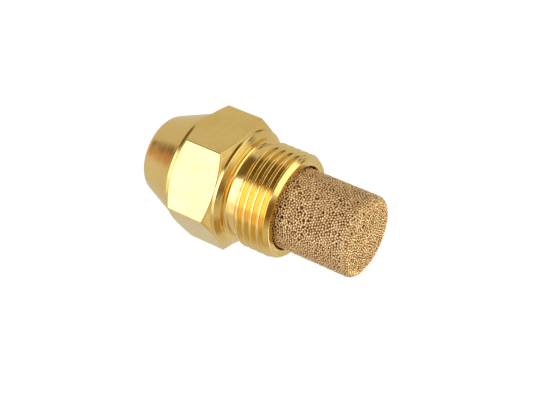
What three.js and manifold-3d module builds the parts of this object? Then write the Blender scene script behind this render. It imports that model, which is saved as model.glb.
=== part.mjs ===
// Oil burner nozzle: simplex pressure-atomising nozzle with a sintered filter.
// Millimetres, +Z up, +X is the spray direction, so "front" is +X.
//
// Every piece is turned about the nozzle axis, the X axis, with x = 0 on the
// rear annular sealing face. The assembly is then lifted and shifted so that
// the origin is the centre of the lower hexagon flat, which the nozzle rests on.

import * as THREE from 'three';
import { mergeVertices } from 'three/addons/utils/BufferGeometryUtils.js';
import Module from 'manifold-3d';

const wasm = await Module();
wasm.setup();

// --------------------------------------------------------- shared dimensions
// Sizes used by one piece only stand at the head of that piece's section.

const HEX_AF = 16.0;              // across flats
const HEX_REAR = 8.6;             // corner edges start here
const HEX_FRONT = 13.8;           // and end here

// bores of the body that other pieces fit into
const COUNTERBORE_DEPTH = 2.9;
const SEAT_END = 19.95;           // front end of the conical disc seat

// lock screw thread, M9 x 1
const LOCK_REAR = 9.2;            // rear face of the lock screw
const LOCK_PITCH = 1.0;
const LOCK_R = 4.42;
const LOCK_ROOT_R = 3.8;
const LOCK_FLANK = 0.3125;        // axial length of one thread flank
const LOCK_CREST = LOCK_PITCH / 8;
const LOCK_ROOT_FLAT = LOCK_PITCH - LOCK_CREST - 2 * LOCK_FLANK;
const LOCK_THREAD_START = -3 * LOCK_PITCH;  // start of the helix, from the screw's rear

// orifice disc and the cone of the distributor inside it
const DISC_REAR = 16.2;
const DISC_CAVITY_R = 2.9;        // mouth of the conical cavity
const DIST_REAR = 14.4;

// filter cup
const FILTER_MOUTH = 1.6;         // open end, inside the counterbore
const FILTER_R = 5.5;
const FILTER_WALL = 1.5;
const FILTER_INNER_R = FILTER_R - FILTER_WALL;

// modelling allowances
const OVERRUN = 1;                // cutting tools run this far past an open face
const THREAD_OVERLAP = 0.01;      // helical rods cross a trimming cylinder by this
const ROD_TURNS = 9;              // threaded turns of a helical rod before trimming

const FINE = 48;                  // segments of outer turnings
const MEDIUM = 32;                // segments of bores and inner pieces
const COARSE = 24;                // segments of the lock screw's drilling
const CROSS_HOLE_SEGMENTS = 20;

const BRASS = { color: 0xc9a052, roughness: 0.3, metalness: 1.0 };
const STEEL = { color: 0xb9bcc0, roughness: 0.3, metalness: 1.0 };
const BRONZE = { color: 0xb9906a, roughness: 0.75, metalness: 0.6 };

// ------------------------------------------------------------------- helpers

const rad = THREE.MathUtils.degToRad;
const cut = (base, ...tools) => tools.reduce((rest, tool) => rest.subtract(tool), base);
const join = (base, ...others) => others.reduce((sum, other) => sum.add(other), base);

// A closed triangle mesh as a solid. Faces are turned outward if needed.
function solid(geometry) {
  geometry.deleteAttribute('normal');
  geometry.deleteAttribute('uv');
  const merged = mergeVertices(geometry, 1e-5);
  const { position } = merged.attributes;
  const corner = (i) => new THREE.Vector3().fromBufferAttribute(position, i);

  const source = merged.index.array;
  let faces = [];
  let volume = 0;                 // signed, times six
  for (let i = 0; i < source.length; i += 3) {
    const [a, b, c] = source.slice(i, i + 3);
    if (a === b || b === c || c === a) continue;      // collapsed on the axis
    faces.push([a, b, c]);
    volume += corner(a).dot(corner(b).cross(corner(c)));
  }
  if (volume < 0) faces = faces.map(([a, b, c]) => [a, c, b]);
  return new wasm.Manifold(new wasm.Mesh({
    numProp: 3,
    vertProperties: new Float32Array(position.array),
    triVerts: new Uint32Array(faces.flat()),
  }));
}

// A named mesh with flat facets from a solid, its origin at x on the axis.
function piece(name, manifold, look, x = 0) {
  const { vertProperties, triVerts } = manifold.getMesh();
  const shared = new THREE.BufferGeometry();
  shared.setAttribute('position', new THREE.BufferAttribute(vertProperties, 3));
  shared.setIndex(new THREE.BufferAttribute(triVerts, 1));
  const flat = shared.toNonIndexed();
  flat.computeVertexNormals();
  const mesh = new THREE.Mesh(flat, new THREE.MeshStandardMaterial(look));
  mesh.name = name;
  mesh.position.x = x;
  return mesh;
}

// A turned solid about X from [x, radius] points along the section.
// The section closes on the axis, or on itself when closed is true.
function turned(points, segments, closed = false) {
  const outline = points.map(([x, radius]) => new THREE.Vector2(radius, x));
  if (closed) outline.push(outline[0].clone());
  const geometry = new THREE.LatheGeometry(outline, segments);
  geometry.rotateZ(-Math.PI / 2);
  return solid(geometry);
}

// [x, radius] points of a rounded edge about the centre (centreX, centreR).
// Angles are in degrees from the radial direction towards +X.
function arc(centreX, centreR, radius, from, to, steps) {
  return Array.from({ length: steps + 1 }, (_, i) => {
    const angle = rad(from + (to - from) * i / steps);
    return [centreX + radius * Math.sin(angle), centreR + radius * Math.cos(angle)];
  });
}

// A right-hand helical rod about X with a trapezoidal thread. The first and
// last turns are plain, at rootR, so that the ends close cleanly; they are
// trimmed off later.
function helicalRod({ start, pitch, rootR, crestR, rootFlat, flank, segments }) {
  const profile = [
    [0, rootR], [rootFlat, rootR], [rootFlat + flank, crestR], [pitch - flank, crestR],
  ];
  const rows = [];
  for (let turn = -1; turn <= ROD_TURNS; turn++) {
    const plain = turn < 0 || turn >= ROD_TURNS;
    for (const [offset, radius] of profile) {
      rows.push([start + turn * pitch + offset, plain ? rootR : radius]);
    }
  }

  // one column of vertices per segment, each a little further along the helix
  const positions = [];
  for (let column = 0; column < segments; column++) {
    const angle = 2 * Math.PI * column / segments;
    const advance = pitch * column / segments;
    for (const [x, radius] of rows) {
      positions.push(x + advance, radius * Math.cos(angle), radius * Math.sin(angle));
    }
  }

  // after a full turn, a row continues as the row one pitch further on
  const perTurn = profile.length;
  const lastRow = rows.length - 1;
  const vertex = (column, row) => (
    column < segments ? column * rows.length + row : row + perTurn);
  const faces = [];
  for (let j = 0; j < segments; j++) {
    const end = j === segments - 1 ? lastRow - perTurn : lastRow;
    for (let i = 0; i < end; i++) {
      faces.push(vertex(j, i), vertex(j + 1, i + 1), vertex(j + 1, i));
      faces.push(vertex(j, i), vertex(j, i + 1), vertex(j + 1, i + 1));
    }
  }

  // rear fan: round the first row, then back down the one-pitch step
  const rearHub = positions.length / 3;
  positions.push(rows[0][0] - pitch, 0, 0);
  for (let j = 0; j < segments; j++) faces.push(rearHub, vertex(j, 0), vertex(j + 1, 0));
  for (let i = perTurn; i > 0; i--) faces.push(rearHub, i, i - 1);

  // front fan: round the last row, up the step in the last column, and close
  const frontHub = rearHub + 1;
  const lastColumn = segments - 1;
  positions.push(rows[lastRow][0] + 2 * pitch, 0, 0);
  for (let j = 0; j < lastColumn; j++) {
    faces.push(frontHub, vertex(j + 1, lastRow), vertex(j, lastRow));
  }
  for (let i = lastRow - perTurn; i < lastRow; i++) {
    faces.push(frontHub, vertex(lastColumn, i), vertex(lastColumn, i + 1));
  }
  faces.push(frontHub, lastRow, vertex(lastColumn, lastRow - perTurn));

  const geometry = new THREE.BufferGeometry();
  geometry.setAttribute('position', new THREE.Float32BufferAttribute(positions, 3));
  geometry.setIndex(faces);
  return solid(geometry);
}

// --------------------------------------------------------------- nozzle body

// hexagon ends and the land in front
const CORNER_R = HEX_AF / Math.sqrt(3);
const HEX_CHAMFER_R = 7.92;       // circle the rear chamfer runs down to
const REAR_CHAMFER_SLOPE = Math.tan(rad(26.2));
const FRONT_CHAMFER_SLOPE = Math.tan(rad(35.5));
const LAND_R = 7.54;              // turned land in front of the hexagon
const LAND_END = 15.39;           // where the nose cone starts

// fixing thread, 9/16"-24 UNEF
const THREAD_R = 7.14;            // crest radius
const THREAD_ROOT_R = 6.55;
const THREAD_PITCH = 25.4 / 24;
const THREAD_CREST = 0.22 * THREAD_PITCH;
const THREAD_FLANK_DEG = 30;
const THREAD_PHASE = -0.23;       // axial shift, sets where the thread starts
const THREAD_END = 5.0;           // front end of the full crest radius
const RUN_OUT = [0.24, 0.5];      // the first groove deepens between these
const SEAL_R = 6.66;              // outer radius of the rear sealing face
const LEAD_CHAMFER = 0.62;        // length of the lead-in chamfer

// relief neck and shoulder between the thread and the hexagon
const NECK_R = 6.4;
const NECK_OVERLAP = 0.4;         // thread and neck overlap this far either side
const SHOULDER_REAR = 6.98;
const SHOULDER_SMALL_R = 7.22;
const SHOULDER_CONE_END = 7.55;
const SHOULDER_FILLET = 0.42;

// nose
const NOSE_HALF_DEG = 22.5;       // half angle of the nose cone
const NOSE_FRONT = 21.4;          // front face
const NOSE_EDGE_R = 1.62;         // rounding of the front edge
const NOSE_HOLE_R = 2.25;         // also the small end of the disc seat
const NOSE_FLARE_R = 3.0;         // 45 degree flare at the front face
const FLARE_OVERRUN = 0.05;

// bores, from the rear
const COUNTERBORE_R = 5.72;
const COUNTERBORE_CHAMFER = 0.11;
const PLUG_BORE_R = 4.7;
const PLUG_BORE_CHAMFER = 0.25;
const PLUG_BORE_END = 7.8;
const PLUG_CONE_LEN = 0.7;        // cone down to the female thread
const CHAMBER_R = 4.0;
const CHAMBER_END = 18.25;
const CHAMBER_REAR = CHAMBER_END - 5.0;
const CHAMBER_CONE_LEN = 0.2;     // short cone at its rear end

// female thread for the lock screw
const NUT_MAJOR_R = 4.52;
const NUT_MINOR_R = 3.93;
const NUT_GAP = 0.06;             // axial gap on each flank
const NUT_CLIP_R = NUT_MAJOR_R + 0.3;
const NUT_REAR = PLUG_BORE_END - 0.3;

// hexagon with turned end chamfers, flats facing up and down
function hexagon() {
  const rear = HEX_REAR - (CORNER_R - HEX_CHAMFER_R) * REAR_CHAMFER_SLOPE;
  const front = HEX_FRONT + (CORNER_R - LAND_R) * FRONT_CHAMFER_SLOPE;
  const prism = new THREE.CylinderGeometry(CORNER_R, CORNER_R, front - rear, 6);
  prism.rotateZ(-Math.PI / 2);
  prism.rotateX(Math.PI / 6);
  prism.translate((front + rear) / 2, 0, 0);
  const cones = turned([
    [rear, 0], [rear, HEX_CHAMFER_R],
    [HEX_REAR + OVERRUN * REAR_CHAMFER_SLOPE, CORNER_R + OVERRUN],
    [HEX_FRONT - OVERRUN * FRONT_CHAMFER_SLOPE, CORNER_R + OVERRUN],
    [front, LAND_R], [front, 0],
  ], FINE);
  return solid(prism).intersect(cones);
}

// neck, shoulder, core of the hexagon and nose as one turning
function neckAndNose() {
  const angle = rad(NOSE_HALF_DEG);
  const edgeX = NOSE_FRONT - NOSE_EDGE_R;
  const edgeR = LAND_R - (edgeX - LAND_END) * Math.tan(angle) - NOSE_EDGE_R / Math.cos(angle);
  const filletX = SHOULDER_REAR - SHOULDER_FILLET;
  return turned([
    [THREAD_END - NECK_OVERLAP, 0], [THREAD_END - NECK_OVERLAP, NECK_R],
    ...arc(filletX, NECK_R + SHOULDER_FILLET, SHOULDER_FILLET, 180, 90, 4),
    [SHOULDER_REAR, SHOULDER_SMALL_R],
    [SHOULDER_CONE_END, HEX_CHAMFER_R], [HEX_REAR, HEX_CHAMFER_R],
    [HEX_REAR, LAND_R], [LAND_END, LAND_R],
    ...arc(edgeX, edgeR, NOSE_EDGE_R, NOSE_HALF_DEG, 90, 6),
    [NOSE_FRONT, 0],
  ], FINE);
}

// helical rod, its first groove filled, trimmed by the turned blank
function fixingThread() {
  const flank = (THREAD_R - THREAD_ROOT_R) * Math.tan(rad(THREAD_FLANK_DEG));
  const rod = helicalRod({
    start: THREAD_PHASE - 2 * THREAD_PITCH,
    pitch: THREAD_PITCH,
    rootR: THREAD_ROOT_R,
    crestR: THREAD_R + THREAD_OVERLAP,
    rootFlat: THREAD_PITCH - THREAD_CREST - 2 * flank,
    flank,
    segments: FINE,
  });
  const blankEnd = THREAD_END + NECK_OVERLAP;
  const blank = turned([
    [0, 0], [0, SEAL_R], [LEAD_CHAMFER, THREAD_R], [THREAD_END, THREAD_R],
    [blankEnd, NECK_R + 0.03], [blankEnd, 0],
  ], FINE);
  const [runOutRear, runOutFront] = RUN_OUT;
  const runOut = turned([
    [-OVERRUN, 0], [-OVERRUN, THREAD_R], [runOutRear, THREAD_R],
    [runOutFront, THREAD_ROOT_R - 0.05], [runOutFront, 0],
  ], FINE);
  return join(rod, runOut).intersect(blank);
}

// the through bore, from the rear sealing face to the nose
function bodyBore() {
  const mouthR = COUNTERBORE_R + COUNTERBORE_CHAMFER;
  const flareR = NOSE_FLARE_R + FLARE_OVERRUN;
  return turned([
    [-OVERRUN, 0], [-OVERRUN, mouthR], [0, mouthR],
    [COUNTERBORE_CHAMFER, COUNTERBORE_R], [COUNTERBORE_DEPTH, COUNTERBORE_R],
    [COUNTERBORE_DEPTH, PLUG_BORE_R + PLUG_BORE_CHAMFER],
    [COUNTERBORE_DEPTH + PLUG_BORE_CHAMFER, PLUG_BORE_R],
    [PLUG_BORE_END, PLUG_BORE_R], [PLUG_BORE_END + PLUG_CONE_LEN, NUT_MINOR_R],
    [CHAMBER_REAR - CHAMBER_CONE_LEN, NUT_MINOR_R], [CHAMBER_REAR, CHAMBER_R],
    [CHAMBER_END, CHAMBER_R], [SEAT_END, NOSE_HOLE_R],
    [NOSE_FRONT - (NOSE_FLARE_R - NOSE_HOLE_R), NOSE_HOLE_R],
    [NOSE_FRONT + FLARE_OVERRUN, flareR], [NOSE_FRONT + OVERRUN, flareR],
    [NOSE_FRONT + OVERRUN, 0],
  ], MEDIUM);
}

// cutter for the female thread, in step with the lock screw's own thread
function nutThread() {
  const flankSlope = LOCK_FLANK / (LOCK_R - LOCK_ROOT_R);
  const shift = NUT_GAP - (NUT_MINOR_R - LOCK_ROOT_R) * flankSlope;
  const rod = helicalRod({
    start: LOCK_REAR + LOCK_THREAD_START + shift,
    pitch: LOCK_PITCH,
    rootR: NUT_MINOR_R - THREAD_OVERLAP,
    crestR: NUT_MAJOR_R,
    rootFlat: LOCK_ROOT_FLAT - 2 * shift,
    flank: (NUT_MAJOR_R - NUT_MINOR_R) * flankSlope,
    segments: MEDIUM,
  });
  const clip = turned([
    [NUT_REAR, 0], [NUT_REAR, NUT_CLIP_R], [CHAMBER_REAR, NUT_CLIP_R], [CHAMBER_REAR, 0],
  ], MEDIUM);
  return rod.intersect(clip);
}

function nozzleBody() {
  return cut(join(fixingThread(), neckAndNose(), hexagon()), bodyBore(), nutThread());
}

// -------------------------------------------------------------- orifice disc
// local x = 0 on the rear face

const DISC_LEN = SEAT_END - DISC_REAR;
const DISC_R = 3.8;
const DISC_CHAMFER = 0.15;
const DISC_CONE_START = 18.0 - DISC_REAR;
const DISC_FRONT_R = 1.86;
const ORIFICE_R = 0.25;
const ORIFICE_FLARE_R = 0.75;
const ORIFICE_FLARE_LEN = 0.35;
const WHIRL_R = 0.5;              // short bore between the cavity and the orifice
const WHIRL_START = DISC_CAVITY_R - WHIRL_R;          // the cavity is a 45 degree cone
const WHIRL_LEN = 0.35;
const WHIRL_CONE_LEN = 0.2;

function orificeDisc() {
  const blank = turned([
    [0, 0], [0, DISC_R - DISC_CHAMFER], [DISC_CHAMFER, DISC_R],
    [DISC_CONE_START, DISC_R], [DISC_LEN, DISC_FRONT_R], [DISC_LEN, 0],
  ], MEDIUM);
  const whirlEnd = WHIRL_START + WHIRL_LEN;
  const inside = turned([
    [-OVERRUN, 0], [-OVERRUN, DISC_CAVITY_R], [0, DISC_CAVITY_R],
    [WHIRL_START, WHIRL_R], [whirlEnd, WHIRL_R], [whirlEnd + WHIRL_CONE_LEN, ORIFICE_R],
    [DISC_LEN - ORIFICE_FLARE_LEN, ORIFICE_R], [DISC_LEN, ORIFICE_FLARE_R],
    [DISC_LEN + OVERRUN, ORIFICE_FLARE_R], [DISC_LEN + OVERRUN, 0],
  ], MEDIUM);
  return cut(blank, inside);
}

// --------------------------------------------------------- swirl distributor
// local x = 0 on the rear face, conical tip forward

const COLLAR_R = 3.3;
const COLLAR_LEN = 1.52;
const COLLAR_CHAMFER = 0.12;
const DIST_NECK_R = 2.75;         // in front of the collar
const CONE_START = DISC_REAR - DIST_REAR;
const CONE_R = DISC_CAVITY_R - 0.4;
const CONE_END = 18.28 - DIST_REAR;
const SLOT_COUNT = 3;
const SLOT_SIZE = [4.2, 0.45, 1.2];                   // length, width, depth
const SLOT_CENTRE = [CONE_START + 1.07, 0.75, 2.2];
const FLAT_HEIGHT = 2.62;         // from the axis to each collar flat
const FLAT_CUTTER = [4, 4, 2];

function swirlDistributor() {
  const blank = turned([
    [0, 0], [0, COLLAR_R - COLLAR_CHAMFER], [COLLAR_CHAMFER, COLLAR_R],
    [COLLAR_LEN - COLLAR_CHAMFER, COLLAR_R], [COLLAR_LEN, COLLAR_R - COLLAR_CHAMFER],
    [COLLAR_LEN, DIST_NECK_R], [CONE_START, CONE_R],
    [CONE_END, CONE_R - (CONE_END - CONE_START)], [CONE_END, 0],
  ], MEDIUM);
  const cutters = [];
  for (let i = 0; i < SLOT_COUNT; i++) {
    // slot along the 45 degree cone, offset sideways from the axis
    const slot = new THREE.BoxGeometry(...SLOT_SIZE);
    slot.rotateY(rad(45));
    slot.translate(...SLOT_CENTRE);
    slot.rotateX(2 * Math.PI * i / SLOT_COUNT);

    // flat on the collar, half a step round from the slot
    const flat = new THREE.BoxGeometry(...FLAT_CUTTER);
    flat.translate(0, 0, FLAT_HEIGHT + FLAT_CUTTER[2] / 2);
    flat.rotateX(2 * Math.PI * (i + 0.5) / SLOT_COUNT);
    cutters.push(solid(slot), solid(flat));
  }
  return cut(blank, ...cutters);
}

// ---------------------------------------------------------------- lock screw
// local x = 0 on the slotted rear face

const LOCK_LEN = 5.1;
const LOCK_THREAD_LEN = 3.5;
const LOCK_BLANK_R = LOCK_R + 0.1;                    // clear of the crests
const LOCK_NOSE_R = 3.3;
const LOCK_NOSE_OVERLAP = 0.4;    // the nose reaches back into the thread
const LOCK_NOSE_CHAMFER = 0.15;
const DRIVER_SLOT = { depth: 1.2, length: 10, width: 1.1 };
const DRILL = { radius: 1.5, depth: 4.3, tip: 4.9 };
const CROSS_HOLE = { radius: 0.5, length: 9, x: LOCK_THREAD_LEN + 0.72 };

function lockScrew() {
  const rod = helicalRod({
    start: LOCK_THREAD_START,
    pitch: LOCK_PITCH,
    rootR: LOCK_ROOT_R,
    crestR: LOCK_R,
    rootFlat: LOCK_ROOT_FLAT,
    flank: LOCK_FLANK,
    segments: MEDIUM,
  });
  const blank = turned([
    [0, 0], [0, LOCK_R - 0.5], [0.5, LOCK_BLANK_R], [LOCK_THREAD_LEN - 0.6, LOCK_BLANK_R],
    [LOCK_THREAD_LEN, LOCK_NOSE_R + 0.2], [LOCK_THREAD_LEN, 0],
  ], MEDIUM);
  const noseRear = LOCK_THREAD_LEN - LOCK_NOSE_OVERLAP;
  const nose = turned([
    [noseRear, 0], [noseRear, LOCK_NOSE_R], [LOCK_LEN - LOCK_NOSE_CHAMFER, LOCK_NOSE_R],
    [LOCK_LEN, LOCK_NOSE_R - LOCK_NOSE_CHAMFER], [LOCK_LEN, 0],
  ], MEDIUM);

  const { depth, length, width } = DRIVER_SLOT;
  const slot = solid(new THREE.BoxGeometry(2 * depth, length, width));
  const drill = turned([
    [-OVERRUN, 0], [-OVERRUN, DRILL.radius], [DRILL.depth, DRILL.radius], [DRILL.tip, 0],
  ], COARSE);
  const crossHoles = [0, Math.PI / 2].map((angle) => {
    const hole = new THREE.CylinderGeometry(
      CROSS_HOLE.radius, CROSS_HOLE.radius, CROSS_HOLE.length, CROSS_HOLE_SEGMENTS);
    hole.rotateX(angle);
    hole.translate(CROSS_HOLE.x, 0, 0);
    return solid(hole);
  });
  return cut(join(rod.intersect(blank), nose), slot, drill, ...crossHoles);
}

// -------------------------------------------------------------------- filter

const CUP_REAR = -10.6 - FILTER_MOUTH;                // closed end, from the mouth
const CUP_EDGE_R = 0.95;
const CUP_MOUTH_CHAMFER = 0.2;
const CUP_FLOOR = CUP_REAR + 2.1; // inside face of the closed end
const CUP_FLOOR_CHAMFER = 0.5;

// sintered cup, closed at the rear, local x = 0 at its mouth
function filterElement() {
  return turned([
    [CUP_REAR, 0],
    ...arc(CUP_REAR + CUP_EDGE_R, FILTER_R - CUP_EDGE_R, CUP_EDGE_R, -90, 0, 6),
    [-CUP_MOUTH_CHAMFER, FILTER_R], [0, FILTER_R - CUP_MOUTH_CHAMFER], [0, FILTER_INNER_R],
    [CUP_FLOOR + CUP_FLOOR_CHAMFER, FILTER_INNER_R],
    [CUP_FLOOR, FILTER_INNER_R - CUP_FLOOR_CHAMFER], [CUP_FLOOR, 0],
  ], FINE);
}

const FERRULE_BORE_R = 2.7;
const SPIGOT_R = FILTER_INNER_R - 0.05;
const SPIGOT_REAR = -4.2;
const SPIGOT_CHAMFER = 0.3;
const FLANGE_REAR = 0.02;
const FLANGE_R = 5.4;
const FLANGE_FRONT = COUNTERBORE_DEPTH - FILTER_MOUTH - 0.02;
const PLUG_R = 4.62;
const PLUG_END = 7.0 - FILTER_MOUTH;
const PLUG_CHAMFER = 0.5;
const GROOVE_R = PLUG_R - 0.25;   // floor of the groove round the plug
const GROOVE_STATIONS = [1.3, 1.5, 2.2, 2.4];         // rim, floor, floor, rim from the flange

// ferrule: spigot into the cup, flange, and plug into the body,
// local x = 0 at the mouth of the cup
function filterFerrule() {
  const [rimRear, floorRear, floorFront, rimFront] = GROOVE_STATIONS.map((x) => FLANGE_FRONT + x);
  return turned([
    [SPIGOT_REAR, FERRULE_BORE_R], [SPIGOT_REAR, SPIGOT_R - SPIGOT_CHAMFER],
    [SPIGOT_REAR + SPIGOT_CHAMFER, SPIGOT_R], [FLANGE_REAR, SPIGOT_R],
    [FLANGE_REAR, FLANGE_R], [FLANGE_FRONT, FLANGE_R], [FLANGE_FRONT, PLUG_R],
    [rimRear, PLUG_R], [floorRear, GROOVE_R], [floorFront, GROOVE_R], [rimFront, PLUG_R],
    [PLUG_END - PLUG_CHAMFER, PLUG_R], [PLUG_END, PLUG_R - PLUG_CHAMFER],
    [PLUG_END, FERRULE_BORE_R],
  ], FINE, true);
}

// ------------------------------------------------------------------ assembly

const nozzle = new THREE.Group();
nozzle.position.set(-(HEX_REAR + HEX_FRONT) / 2, 0, HEX_AF / 2);
nozzle.add(piece('nozzle_body', nozzleBody(), BRASS));
nozzle.add(piece('orifice_disc', orificeDisc(), STEEL, DISC_REAR));

// distributor and lock screw go in from the rear as one stack
const insert = new THREE.Group();
insert.add(piece('swirl_distributor', swirlDistributor(), STEEL, DIST_REAR));
insert.add(piece('lock_screw', lockScrew(), BRASS, LOCK_REAR));
nozzle.add(insert);

// the filter pulls out of the rear
const filter = new THREE.Group();
filter.position.x = FILTER_MOUTH;
filter.add(piece('filter_element', filterElement(), BRONZE));
filter.add(piece('filter_ferrule', filterFerrule(), BRASS));
nozzle.add(filter);

const part = new THREE.Group();
part.add(nozzle);

export default part;
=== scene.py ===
"""Looks of an oil burner nozzle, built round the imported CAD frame.

The nozzle lies along x. Builders work in millimetres, with x = 0 on the rear
annular sealing face, +x towards the spray side and y, z measured from the
nozzle axis. make_object turns that into the row frame, in metres. The filter
cup reaches back to -x.
"""

import math

import bpy
import numpy as np
from mathutils import Matrix, Vector, kdtree


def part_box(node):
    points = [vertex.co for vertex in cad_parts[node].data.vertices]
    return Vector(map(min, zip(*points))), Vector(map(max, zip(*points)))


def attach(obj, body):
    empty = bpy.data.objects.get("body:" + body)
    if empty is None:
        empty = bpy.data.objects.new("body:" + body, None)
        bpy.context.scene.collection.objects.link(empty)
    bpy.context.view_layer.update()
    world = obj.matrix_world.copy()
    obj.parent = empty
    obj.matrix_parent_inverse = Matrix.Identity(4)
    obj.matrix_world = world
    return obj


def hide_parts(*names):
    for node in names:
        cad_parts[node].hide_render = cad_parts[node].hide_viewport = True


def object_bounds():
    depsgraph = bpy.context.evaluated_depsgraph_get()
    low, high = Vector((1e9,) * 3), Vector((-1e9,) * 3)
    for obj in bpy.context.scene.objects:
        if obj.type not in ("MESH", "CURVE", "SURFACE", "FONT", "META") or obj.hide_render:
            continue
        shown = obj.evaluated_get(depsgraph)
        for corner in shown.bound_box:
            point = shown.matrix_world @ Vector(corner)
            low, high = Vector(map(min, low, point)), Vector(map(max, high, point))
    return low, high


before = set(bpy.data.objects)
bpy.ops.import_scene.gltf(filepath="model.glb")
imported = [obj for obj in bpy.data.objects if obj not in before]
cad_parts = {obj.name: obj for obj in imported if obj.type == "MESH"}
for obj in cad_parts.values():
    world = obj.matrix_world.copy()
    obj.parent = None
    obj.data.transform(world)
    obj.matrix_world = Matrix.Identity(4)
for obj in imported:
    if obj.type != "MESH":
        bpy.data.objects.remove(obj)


def box_lists():
    low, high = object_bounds()
    return [list(map(float, low)), list(map(float, high))]


cad_box = box_lists()

BODY_LOW, BODY_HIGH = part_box("nozzle_body")
SEAL_X = BODY_LOW.x                         # rear sealing face, m
AXIS_Z = (BODY_LOW.z + BODY_HIGH.z) / 2     # nozzle axis, m
MM = 0.001

rng = np.random.default_rng(20240611)


# ------------------------------------------------------------ dimensions, mm

# spanner hexagon and the turned lands at its ends
HEX_FLATS = (BODY_HIGH.z - BODY_LOW.z) / MM
HEX_CORNER_R = HEX_FLATS / math.sqrt(3)
HEX_CORNER_FILLET = 0.20
HEX_REAR, HEX_FRONT = 8.6, 13.8             # ends of the sharp corners
REAR_LAND_R, REAR_CHAMFER_DEG = 7.92, 26.2
FRONT_LAND_R, FRONT_CHAMFER_DEG = 7.54, 35.5
# where the end chamfers meet the lands
HEX_X0 = HEX_REAR - (HEX_CORNER_R - REAR_LAND_R) * math.tan(math.radians(REAR_CHAMFER_DEG))
HEX_X1 = HEX_FRONT + (HEX_CORNER_R - FRONT_LAND_R) * math.tan(math.radians(FRONT_CHAMFER_DEG))

# fixing thread, 24 to the inch, with its lead-in chamfer and relief neck
THREAD_R, THREAD_ROOT, PITCH = 7.14, 6.55, 25.4 / 24
CREST_HALF, CREST_ROUND, ROOT_ROUND = 0.11 * PITCH, 0.02, 0.05
THREAD_PHASE = 0.3869                       # x of a crest at angle 0
LEAD_R, LEAD_LENGTH = 6.66, 0.62
THREAD_END, RUNOUT_END, RUNOUT_R = 5.0, 5.4, 6.43
NECK_R, SHOULDER_X, SHOULDER_FILLET = 6.4, 6.98, 0.42

# nose
NOSE_START, NOSE_END, NOSE_ROUND, NOSE_DEG = 15.39, 21.4, 1.62, 22.5

# inside of the body
BORE_EDGE_R, COUNTERBORE_R, PLUG_R = 5.83, 5.72, 4.7
FRONT_BORE_R = 4.0
SCREW_MINOR_R, SCREW_MAJOR_R, SCREW_PITCH = 3.93, 4.52, 1.0
SCREW_CONE_X, SCREW_REAR, SCREW_FRONT = 7.8, 8.5, 13.25
GROOVE_EDGE, GROOVE_HALF, GROOVE_FLANK = 6.4555, 0.072, 0.2974

# sintered filter cup; lengths along its outside run from its rim to its tip
CUP_R, CUP_WALL, CUP_EDGE = 5.5, 1.5, 0.95
CUP_END, CUP_MOUTH = -10.6, 1.6
CUP_RIM = CUP_MOUTH - 0.2
CUP_BEND = CUP_END + CUP_EDGE               # x where the end edge starts to turn
SIDE_LENGTH = CUP_RIM - CUP_BEND
EDGE_LENGTH = CUP_EDGE * math.pi / 2
CUP_LENGTH = SIDE_LENGTH + EDGE_LENGTH + (CUP_R - CUP_EDGE)
GRAIN_START = 1.15                          # plain where it sits deep in the counterbore
GRAIN = math.tau * CUP_R / 89               # pitch of the bronze grains
GRAIN_ROW = GRAIN * 0.866
MESH_STEP = GRAIN_ROW / 4.7
CUP_COLUMNS = 420
PORE_HEIGHT = -0.56                         # surface where no grain reaches


# ------------------------------------------------------------ mesh machinery

def even_angles(count):
    return np.arange(count) * math.tau / count


class Helix:
    """A right-hand thread and the rows that follow it. Each offset from the
    centre of its crest or groove is mirrored on the other side."""

    def __init__(self, pitch, phase, offsets):
        self.pitch, self.phase = pitch, phase
        both = [0.0] + offsets + [pitch - offset for offset in offsets]
        self.offsets = np.unique(np.mod(both, pitch))

    def from_centre(self, x, angle):
        """Distance along x from the nearest crest or groove centre."""
        half = self.pitch / 2
        lead = self.pitch * angle / math.tau
        return np.mod(x - self.phase - lead + half, self.pitch) - half


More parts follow.
